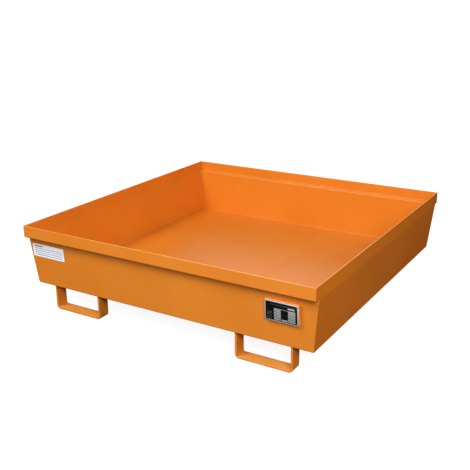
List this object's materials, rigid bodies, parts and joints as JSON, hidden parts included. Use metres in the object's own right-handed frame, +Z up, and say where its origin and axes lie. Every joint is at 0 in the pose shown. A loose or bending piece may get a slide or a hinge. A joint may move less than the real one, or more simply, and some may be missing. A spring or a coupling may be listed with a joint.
{
  "type": "spill containment pallet",
  "caption": "Low, square sump tray of folded and welded sheet steel with stepped-out rims for a grating, on bent flat-bar feet with fork pockets; catches leaks.",
  "frame": {"origin": "on the ground under the middle of the tray", "axes": "+X to the right along the front, +Y to the rear, +Z up; the front carries the type plate"},
  "size_m": [1.25, 1.25, 0.345],
  "materials": {
    "orange_paint": "semi-gloss",
    "painted_weld": "semi-gloss",
    "plate_aluminium": "satin, black print",
    "rivet_aluminium": "satin",
    "label_film": "matt"
  },
  "bodies": {
    "root": {"folded_trough": "orange_paint", "left_side_sheet": "orange_paint", "right_side_sheet": "orange_paint", "front_left_foot": "orange_paint", "front_right_foot": "orange_paint", "rear_left_foot": "orange_paint", "rear_right_foot": "orange_paint", "type_plate_holder": "orange_paint", "left_floor_weld": "painted_weld", "right_floor_weld": "painted_weld", "front_left_corner_weld": "painted_weld", "front_right_corner_weld": "painted_weld", "rear_left_corner_weld": "painted_weld", "rear_right_corner_weld": "painted_weld", "front_left_foot_welds": "painted_weld", "front_right_foot_welds": "painted_weld", "rear_left_foot_welds": "painted_weld", "rear_right_foot_welds": "painted_weld", "holder_tack_welds": "painted_weld", "type_plate": "plate_aluminium", "type_plate_rivets": "rivet_aluminium", "label": "label_film"}
  },
  "joints": []
}
